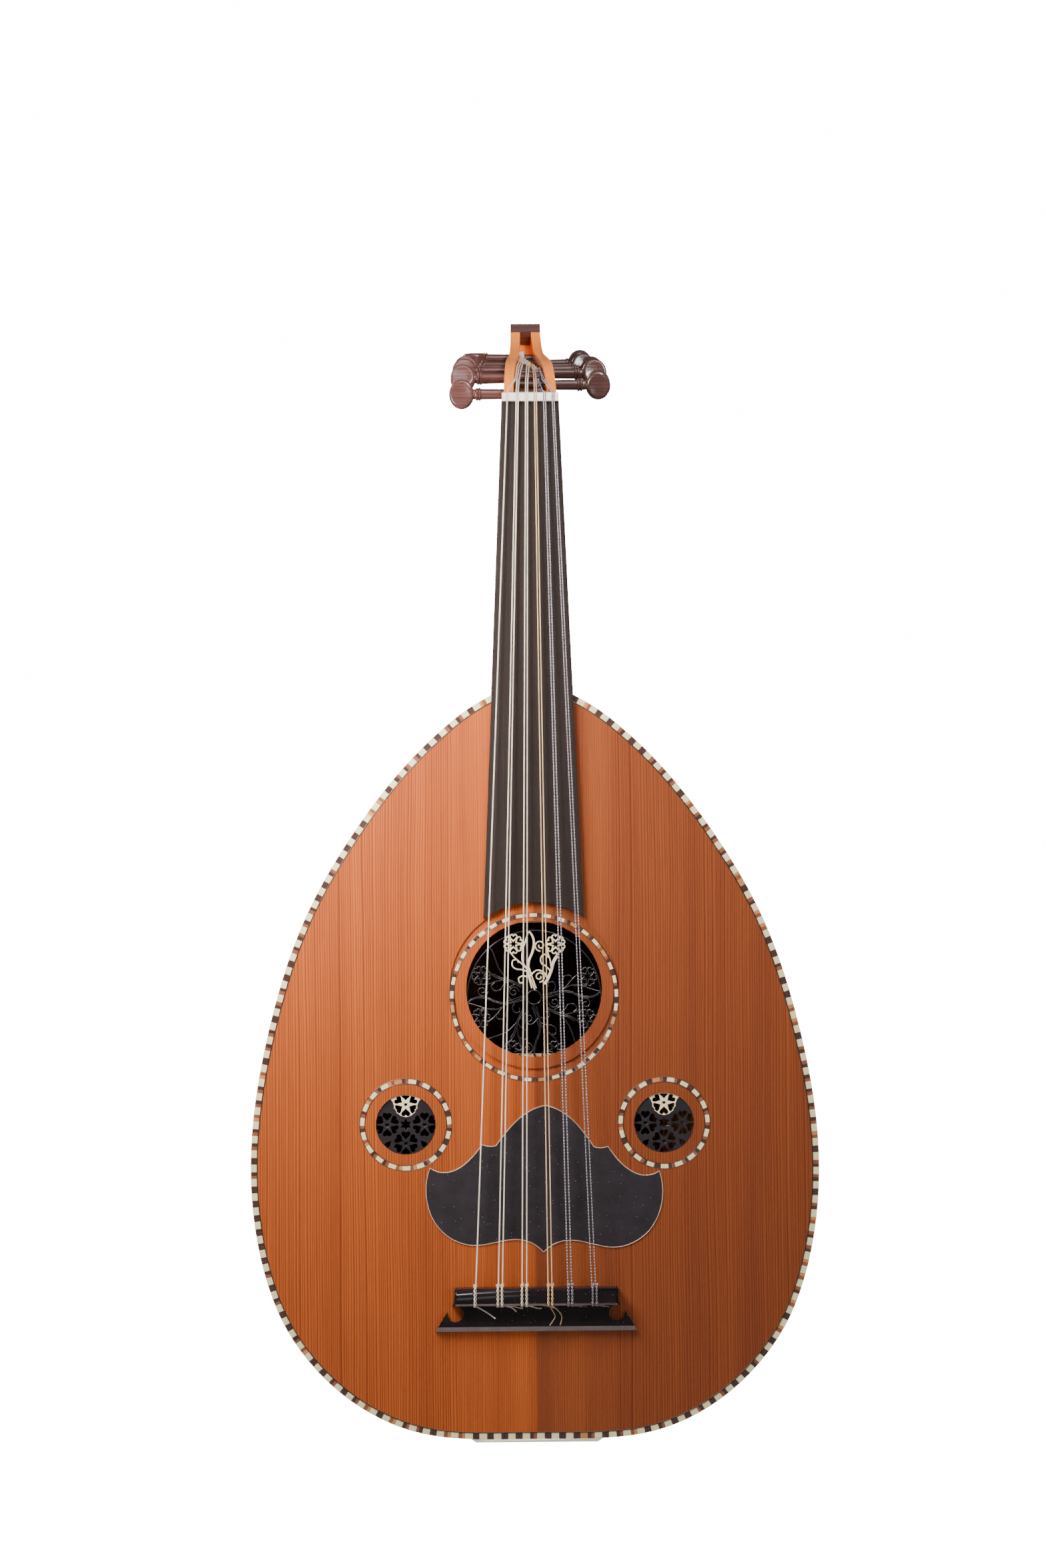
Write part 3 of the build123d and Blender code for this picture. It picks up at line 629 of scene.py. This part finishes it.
def tileRun(bm, path, sizes, width, thickness, inset, front):
    chance = random.Random(sizes["seed"])
    total = lengths(path)
    pairs = round(total[-1] / (sizes["cream"] + sizes["dark"]))
    pitch = total[-1] / pairs
    share = sizes["cream"] / (sizes["cream"] + sizes["dark"])
    for pair in range(pairs):
        start = pair * pitch
        middle = start + pitch * share * chance.uniform(0.97, 1.03)
        split = middle + (start + pitch - middle) * chance.choice([0.45, 0.5, 0.55])
        cream = 3 if chance.random() < sizes.get("odd", 0.02) else 0
        woods = chance.choice([(1, 2), (2, 1), (1, 1), (1, 2), (1, 1), (2, 3)])
        for low, high, wood in ((start, middle, cream), (middle, split, woods[0]),
                                (split, start + pitch, woods[1])):
            point, along = alongPath(path, total, (low + high) / 2)
            inward = along.cross(Vector((0, -1, 0))).normalized() * inset
            centre = point + inward
            centre.y = front + thickness / 2
            addTile(bm, centre, along, high - low - 0.00006, width, thickness, wood, edgeBand["bevel"] * 0.6)


def offsetPath(path, inset, y):
    moved = []
    for place, point in enumerate(path):
        before = path[max(place - 1, 0)]
        after = path[min(place + 1, len(path) - 1)]
        along = (after - before).normalized()
        shifted = point + along.cross(Vector((0, -1, 0))).normalized() * inset
        moved.append(Vector((shifted.x, y, shifted.z)))
    return moved


def circlePath(radius, centre, y, steps=96):
    return [Vector((centre.x + radius * math.cos(a), y, centre.z + radius * math.sin(a)))
            for a in (2 * math.pi * k / steps for k in range(steps))]


def makeEdgeBand():
    bm = bmesh.new()
    inward = 1 if boardPath[0].x < 0 else -1
    tileRun(bm, boardPath, {**edgeBand, "odd": 0.03}, edgeBand["width"], edgeBand["thickness"],
            -inward * edgeBand["width"] / 2, 0.00002)
    keep("edgeTiles", meshFrom(bm, "edgeTiles"), [finish[w] for w in tileWoods], replaces=("edge_purfling",),
         smoothDegrees=0)
    line = offsetPath(boardPath, -inward * (edgeBand["width"] + 0.0003), 0.0001)
    keep("edgeLine", curveMesh("edgeLine", [(line, False)], edgeBand["lineWidth"], 1), finish["blackLine"])


def makeRings():
    bm = bmesh.new()
    lines = []
    for ring in rings.values():
        low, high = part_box(ring["node"])
        centre = (low + high) / 2
        middle = (ring["inner"] + ring["outer"]) / 2
        path = circlePath(middle, centre, 0, 360)
        path.append(path[0])
        tileRun(bm, path, {**ring, "odd": 0.12}, ring["outer"] - ring["inner"], 0.0007, 0, -0.00002)
        for radius in (ring["inner"] - 0.0002, ring["outer"] + 0.0002):
            lines.append((circlePath(radius, centre, 0.00012), True))
    keep("ringTiles", meshFrom(bm, "ringTiles"), [finish[w] for w in tileWoods],
         replaces=("soundhole_rings",),
         smoothDegrees=0)
    keep("ringLines", curveMesh("ringLines", lines, 0.00026, 1), finish["blackLine"])


# rosettes: pierced plates and scrollwork

scroll = {"strip": 0.00085, "thickness": 0.0012, "front": 0.0006, "bevel": 0.00012, "turns": 1.35}
rosette = {"heartTip": 0.0024, "heartLength": 0.0054, "heartWidth": 0.0060, "starOuter": 0.0019,
           "starInner": 0.0008,
           "cellRing": 0.0123, "rimGap": 0.0004, "shieldDegrees": 31, "shieldRise": 0.0010,
           "smallestHole": 0.0000012,
           "centreStarOuter": 0.0040, "centreStarInner": 0.0021, "leafAcross": 0.0115, "leafDown": 0.0125,
           "leafTip": -0.0028, "leafLength": 0.0058, "leafWidth": 0.0036}
shieldFoot = [(-0.0086, 0.0018), (-0.0066, -0.0040), (-0.0036, -0.0074),
              (0, -0.0084)]  # left half of its curve


# a heart with its point at the origin, pointing back along the given direction
def heart(centre, angle, tip, length, width, steps=20):
    points = []
    for step in range(steps):
        t = 2 * math.pi * step / steps
        across = width / 2 * math.sin(t) ** 3
        lift = (13 * math.cos(t) - 5 * math.cos(2 * t) - 2 * math.cos(3 * t) - math.cos(4 * t) + 17) / 29.0
        along = tip + length * lift
        points.append(centre + Vector((along * math.cos(angle) - across * math.sin(angle), 0,
                                       along * math.sin(angle) + across * math.cos(angle))))
    return points


def star(centre, outer, inner, points=6, turn=math.pi / 2):
    return [centre + (outer if k % 2 == 0 else inner) * Vector((math.cos(turn + math.pi * k / points), 0,
                                                               math.sin(turn + math.pi * k / points)))
            for k in range(2 * points)]


# a flat plate from closed outlines, the first one outside and the rest pierced through it
def pierced(name, outlines, front, thickness, bevel, material, replaces=()):
    data = bpy.data.curves.new(name, "CURVE")
    data.dimensions = "2D"
    data.fill_mode = "BOTH"
    data.extrude = thickness / 2 - bevel
    data.bevel_depth = bevel
    data.bevel_resolution = 0
    data.offset = -bevel
    for outline in outlines:
        spline = data.splines.new("POLY")
        spline.points.add(len(outline) - 1)
        for place, point in zip(spline.points, outline):
            place.co = (point.x, point.z, 0, 1)
        spline.use_cyclic_u = True
    curve = bpy.data.objects.new(name, data)
    mesh = bpy.data.meshes.new_from_object(curve)
    bpy.data.objects.remove(curve)
    mesh.name = name
    mesh.transform(Matrix.Translation((0, front + thickness / 2, 0)) @ Matrix.Rotation(math.radians(90), 4,
                                                                                       "X"))
    keep(name, mesh, material, replaces=replaces, smoothDegrees=0)


def held(points, centre, limit):
    kept = []
    for point in points:
        away = point - centre
        kept.append(centre + away * min(1.0, limit / max(away.length, 1e-9)))
    return kept


def cellHoles(cell, centre, limit):
    outlines = [star(cell, rosette["starOuter"], rosette["starInner"])]
    for petal in range(6):
        angle = math.pi / 6 + petal * math.pi / 3
        outlines.append(held(heart(cell, angle, rosette["heartTip"], rosette["heartLength"],
                                   rosette["heartWidth"]), centre, limit))
    return [o for o in outlines if abs(outlineArea(o)) > rosette["smallestHole"]]


def outlineArea(points):
    return sum(a.x * b.z - b.x * a.z for a, b in zip(points, points[1:] + points[:1])) / 2


def makeSmallRosette(node, name):
    low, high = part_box(node)
    centre = (low + high) / 2
    centre.y = 0
    rim = (high.x - low.x) / 2
    limit = rim - rosette["rimGap"]
    top = centre + Vector((0, 0, rosette["cellRing"] + rosette["shieldRise"]))
    shieldHalf = math.radians(rosette["shieldDegrees"])
    foot = [Vector((x, 0, z)) for x, z in shieldFoot]
    lower = [top + p for p in foot] + [top + Vector((-p.x, 0, p.z)) for p in reversed(foot[:-1])]

    def rimPoint(angle):
        return centre + rim * Vector((math.sin(angle), 0, math.cos(angle)))

    def arc(start, end, steps):
        return [rimPoint(start + (end - start) * k / steps) for k in range(steps + 1)]

    shield = lower + arc(shieldHalf, -shieldHalf, 16)
    rest = arc(shieldHalf, 2 * math.pi - shieldHalf, 72) + [p.copy() for p in lower]
    holes = []
    for angle in (0, math.pi, -math.pi / 2):
        cell = centre + rosette["cellRing"] * Vector((math.cos(angle), 0, math.sin(angle)))
        holes += cellHoles(cell, centre, limit)
    holes.append(star(centre, rosette["centreStarOuter"], rosette["centreStarInner"]))
    for side in (-1, 1):
        across, height = side * rosette["leafAcross"], -rosette["leafDown"]
        leaf = centre + Vector((across, 0, height))
        outline = heart(leaf, math.atan2(height, across), rosette["leafTip"], rosette["leafLength"],
                        rosette["leafWidth"])
        holes.append(held(outline, centre, limit))
    pierced(name + "Plate", [rest] + holes, scroll["front"], scroll["thickness"], scroll["bevel"],
            finish["blackRosette"], replaces=(node,))
    return [shield] + cellHoles(top, centre, limit)


# strokes of one quarter of the main rosette, in mm from its centre, with the pattern's axis pointing up
quarter = {
    "leafRight": [(-1.5, 6), (-3, 12), (-4.2, 18), (-3.6, 24), (-1.2, 30), (-0.2, 36), (-1.0, 40),
                  (-3.0, 43.6)],
    "leafLeft": [(-4.2, 18), (-6.2, 21), (-7.8, 25), (-7.4, 31), (-5.4, 37), (-3.6, 43.2)],
    "trunk": [(0.5, 5), (-1.4, 10), (-3, 14), (-3.9, 19)],
    "trunkRight": [(1.4, 6), (-0.2, 10.5), (-1.6, 14.5), (-3.2, 19.5)],
    "leafSecond": [(-3.4, 19), (-2.9, 24), (-0.6, 29.6), (0.5, 35), (-0.2, 39.4), (-2.0, 42.6)],
    "stemSecond": [(7.6, 8.4), (10, 12.6), (12, 17.6), (13.4, 22.8), (15.8, 26.8)],
    "leftStem": [(-4.6, 19), (-9, 23), (-13, 26.5), (-15.6, 30)],
    "leftBranch": [(-7.6, 26), (-7.6, 32), (-9.2, 35)],
    "leftCurl": [(-4.4, 17), (-8, 18.2), (-11.5, 18.6), (-14, 20.5), (-14, 24), (-11.4, 24.8), (-10, 22.8)],
    "lowCurl": [(-4, 13), (-7, 14.2), (-10, 12.6), (-9.4, 9.6), (-6.8, 9.8)],
    "rightStem": [(6.5, 8.5), (9, 13), (11, 18), (12.8, 24), (15.4, 28), (19, 31)],
    "rightBranch": [(11.4, 20), (10.6, 25), (9, 30), (8.6, 34)],
    "ess": [(11, 17), (8.4, 20), (5, 22.4), (4.6, 26), (7.4, 28.2), (9.8, 26)],
    "base": [(-2.4, 14), (1.5, 17.6), (6, 16.8), (8.4, 13)],
}
darkVine = [(9, 13), (13, 18), (18, 22.4), (24, 25), (30, 27), (33.5, 29.5)]
curls = {"innerRight": (3.6, 13.4, 3.6, 1), "outer": (4.3, 34, 3.8, -1)}
flowers = [(-13.4, 35.2), (14.4, 34.8)]
flowerHeart = {"tip": 0.0016, "length": 0.0046, "width": 0.0047}


def smoothed(points, steps=6):
    padded = [points[0]] + points + [points[-1]]
    path = []
    for a, b, c, d in zip(padded, padded[1:], padded[2:], padded[3:]):
        for step in range(steps):
            t = step / steps
            path.append(0.5 * ((2 * b) + (c - a) * t + (2 * a - 5 * b + 4 * c - d) * t * t
                               + (3 * b - a - 3 * c + d) * t ** 3))
    path.append(points[-1].copy())
    return path


def spiralPath(centre, radius, hand):
    steps = 26
    path = []
    for step in range(steps + 1):
        share = step / steps
        angle = -math.pi / 2 + hand * 2 * math.pi * scroll["turns"] * share
        reach = radius * (1 - 0.78 * share)
        path.append(centre + reach * Vector((math.cos(angle), 0, math.sin(angle))))
    return path


def quarterStrokes(turn, centre, limit, more=()):
    spin = Matrix.Rotation(turn, 4, Vector((0, 1, 0)))
    strokes = []
    for points in [*quarter.values(), *more]:
        strokes.append((smoothed([Vector((x * mm, 0, z * mm)) for x, z in points]), False))
    for x, z, radius, hand in curls.values():
        strokes.append((spiralPath(Vector((x * mm, 0, z * mm)), radius * mm, hand), False))
    for x, z in flowers:
        middle = Vector((x * mm, 0, z * mm))
        for petal in range(6):
            angle = math.pi / 2 + petal * math.pi / 3
            strokes.append((heart(middle, angle, flowerHeart["tip"], flowerHeart["length"],
                                  flowerHeart["width"]), True))
    moved = []
    for points, closed in strokes:
        moved.append((held([centre + spin @ p for p in points], centre, limit), closed))
    return moved


def stripMesh(name, strokes, width, front, thickness):
    mesh = curveMesh(name, strokes, width / 2, 1)
    mesh.transform(Matrix.Diagonal((1, thickness / width, 1, 1)))
    mesh.transform(Matrix.Translation((0, front + thickness / 2, 0)))
    return mesh


def makeMainRosette():
    low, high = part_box("main_rosette")
    centre = (low + high) / 2
    centre.y = 0
    limit = (high.x - low.x) / 2 - 0.0006
    black = []
    for part in range(1, 4):
        black += quarterStrokes(part * math.pi / 2, centre, limit, [darkVine])
    black.append((circlePath(0.0046, centre, 0, 40), True))
    black.append((circlePath(limit, centre, 0, 120), True))
    keep("mainScrollwork", stripMesh("mainScrollwork", black, scroll["strip"], scroll["front"],
                                     scroll["thickness"]),
         finish["blackRosette"], replaces=("main_rosette",))
    light = quarterStrokes(0, centre, limit)
    keep("lightScrollwork", stripMesh("lightScrollwork", light, scroll["strip"] * 1.25,
                                      scroll["front"] - 0.0001,
                                      scroll["thickness"]), finish["lightRosette"])


def makeRosettes():
    makeMainRosette()
    shields = [makeSmallRosette("left_rosette", "leftRosette"),
               makeSmallRosette("right_rosette", "rightRosette")]
    for name, outlines, replacedNodes in zip(("leftLightCell", "rightLightCell"), shields,
                                             (("rosette_light_inlays",), ())):
        pierced(name, outlines, scroll["front"] - 0.0001, scroll["thickness"], scroll["bevel"],
                finish["lightRosette"],
                replaces=replacedNodes)


# pickguard with its pale border

guard = {"borderWidth": 0.0006}


def makePickguard():
    piece = nodes["pickguard"]
    piece.data.materials.clear()
    piece.data.materials.append(finish["blackVeneer"])
    loops = frontRims("pickguard")
    rim = max(loops, key=len)
    top = min(p.y for p in rim)
    path = [Vector((p.x, top + 0.0001, p.z)) for p in rim]
    keep("pickguardBorder", curveMesh("pickguardBorder", [(path, True)], guard["borderWidth"] / 2, 1),
         finish["paleEdge"])


# strings at the bridge: a knot, a twisted loop over the bar and a cut tail

strings = {
    "count": 11, "barTop": 0.1028, "barFoot": 0.0905, "barFront": -0.0108,
    "twistTurns": 2.5,
    "knotRadius": 0.0009, "strandShare": 0.85, "steps": 40, "loopShare": 0.12, "footShare": 0.9,
    "clearFrom": 8, "clearThinner": 0.8,  # the clear strings, from this number on, have thinner strands
    "tails": [
        [(-39.2, 90.2), (-33.2, 86.7), (-27.0, 82.3)], [(-22.6, 90.7), (-15.6, 90.2), (-8.8, 88.7)],
        [(-20.0, 90.5), (-16.1, 89.2), (-13.1, 86.7)], [(-6.2, 90.7), (0.5, 88.9), (3.5, 88.9)],
        [(1.5, 90.9), (8.0, 90.2), (12.1, 88.9)], [(8.6, 90.2), (12.1, 84.1), (11.4, 81.6), (8.6, 77.6)],
        [(11.1, 90.2), (16.4, 84.1), (15.6, 77.6)], [(22.0, 90.2), (27.0, 90.1), (30.0, 89.7)],
        [(24.7, 90.5), (29.0, 90.3), (33.2, 89.7)], [(37.6, 90.2), (42.0, 90.0), (45.0, 89.6)],
        [(39.8, 90.4), (44.0, 90.2), (48.3, 89.2)],
    ],
}


def stringEnd(number):
    low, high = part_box(f"string_{number:02d}")
    mesh = nodes[f"string_{number:02d}"].data
    foot = [v.co for v in mesh.vertices if v.co.z < low.z + 0.0015]
    x = sum(p.x for p in foot) / len(foot)
    y = sum(p.y for p in foot) / len(foot)
    radius = max(p.x for p in foot) - x
    return x, y, max(radius, 0.0003)


def makeBridgeEnds():
    for number in range(1, strings["count"] + 1):
        x, y, radius = stringEnd(number)
        strand = radius * strings["strandShare"]
        reach = strings["barFront"] - strand * 1.7
        paths = []
        steps = strings["steps"]
        for hand in (0, math.pi):
            path = []
            for step in range(steps + 1):
                share = step / steps
                z = strings["barTop"] + 0.0012 - (strings["barTop"] + 0.0012 - strings["barFoot"]) * share
                angle = hand + 2 * math.pi * strings["twistTurns"] * share
                pinch = strand * 1.5
                depth = reach
                if share < strings["loopShare"]:
                    depth = y - 0.0006 + (reach - y + 0.0006) * (share / strings["loopShare"])
                if share > strings["footShare"]:
                    depth = reach + 0.0016 * (share - strings["footShare"]) / (1 - strings["footShare"])
                path.append(Vector((x + pinch * math.cos(angle), depth + pinch * 0.8 * math.sin(angle), z)))
            paths.append((path, False))
        knot = [Vector((x + strings["knotRadius"] * math.cos(a), y - 0.0009 + 0.0008 * math.sin(a),
                        strings["barTop"] + 0.0016 + 0.0007 * math.sin(2 * a)))
                for a in (2 * math.pi * k / 18 for k in range(18))]
        paths.append((knot, True))
        nub = [Vector((x + 0.0004, y - 0.0010, strings["barTop"] + 0.0014)),
               Vector((x + 0.0010, y - 0.0012, strings["barTop"] + 0.0032))]
        paths.append((nub, False))
        base = -0.0042 - strand
        tail = [Vector((tx * mm, base - (0.0012 if place == 0 else 0.0006 * place), tz * mm))
                for place, (tx, tz) in enumerate(strings["tails"][number - 1])]
        paths.append((smoothed([Vector((x, reach + 0.0018, strings["barFoot"] + 0.0004))] + tail, 4), False))
        thinner = strings["clearThinner"] if number >= strings["clearFrom"] else 1
        name = f"stringKnot_{number:02d}"
        keep(name, curveMesh(name, paths, strand * thinner, 1), finish[stringFinish[number - 1]])


# windings: the string's last turns round its peg, closed turns side by side that turn with the peg

windings = {"turns": 5, "peg": [11, 10, 9, 8, 7, 6, 5, 2, 1, 4, 3]}


def makeWindings():
    anchors = {joint["child"]: Vector(joint["pos_m"]) for joint in frame["joints"]}
    for number in range(1, strings["count"] + 1):
        mesh = nodes[f"string_{number:02d}"].data
        body = f"peg_{windings['peg'][number - 1]:02d}"
        axis = anchors[body]
        tip = min((v.co for v in mesh.vertices), key=lambda p: (p.yz - axis.yz).length)
        near = [v.co for v in nodes[body].data.vertices if abs(v.co.x - tip.x) < 0.03]
        shaft = [(p.yz - axis.yz).length for p in near]
        thick = sorted(shaft)[len(shaft) // 2]
        radius = stringEnd(number)[2] * 0.9
        pitch = radius * 2.05
        start = tip.x - pitch * windings["turns"] / 2
        reach = thick + radius * 0.9
        turns = []
        for turn in range(windings["turns"]):
            x = start + pitch * turn
            turns.append(([Vector((x, axis.y + reach * math.cos(a), axis.z + reach * math.sin(a)))
                           for a in (2 * math.pi * k / 24 for k in range(24))], True))
        keep(f"winding_{number:02d}", curveMesh(f"winding_{number:02d}", turns, radius, 1),
             finish[stringFinish[number - 1]], body)


# CAD parts that stay, and copies with joined faces

pegs = {"count": 11}
stays = {
    "soundboard_outer_left": "outerCedar", "soundboard_outer_right": "outerCedar",
    "soundboard_inner_left": "innerCedar", "soundboard_inner_right": "innerCedar",
    "soundboard_braces": "spruce", "neck_block": "spruce", "tail_block": "spruce",
}
copies = {
    "neck": ("neckShell", "neckWood", "neck_wood"), "fingerboard": ("ebonyBoard", "ebony", "ebony"),
    "nut": ("boneNut", "bone", "bone"),
    "pegbox_left_cheek": ("leftCheek", "stainedMaple", "stained_maple"),
    "pegbox_right_cheek": ("rightCheek", "stainedMaple", "stained_maple"),
    "pegbox_back": ("pegboxBack", "stainedMaple", "stained_maple"),
    "pegbox_finial": ("finialBlock", "finialRosewood", "rosewood"),
    "end_clasp": ("endClasp", "claspWood", "cream_wood"),
}


def dressParts():
    for node, material in stays.items():
        nodes[node].data.materials.clear()
        nodes[node].data.materials.append(finish[material])
    for node, (name, material, slot) in copies.items():
        joinedCopy(node, name, finish[material])
    # bevels facing down and forward get the paler lacquer: a painted highlight, the floor's reflection
    joinedCopy("bridge", "lacqueredBridge", (finish["blackLacquer"], finish["bevelHighlightLacquer"]),
             highlighted=lambda normal: normal.z < -0.35 and normal.y < -0.35)
    for number in range(1, pegs["count"] + 1):
        wood = "redRosewood" if number % 2 else "darkRosewood"
        joinedCopy(f"peg_{number:02d}", f"turnedPeg_{number:02d}", finish[wood], body=f"peg_{number:02d}",
                 degrees=32)
    for number in range(1, strings["count"] + 1):
        node = nodes[f"string_{number:02d}"]
        node.data.materials.clear()
        node.data.materials.append(finish[stringFinish[number - 1]])


makeCamera()
makeRoom()
print("camera, lights and floor set")
dressParts()
print("parts dressed")
makeBowl()
print("bowl done")
makeEdgeBand()
makeRings()
print("tiles done")
makeRosettes()
print("rosettes done")
makePickguard()
makeBridgeEnds()
makeWindings()
print("strings done")
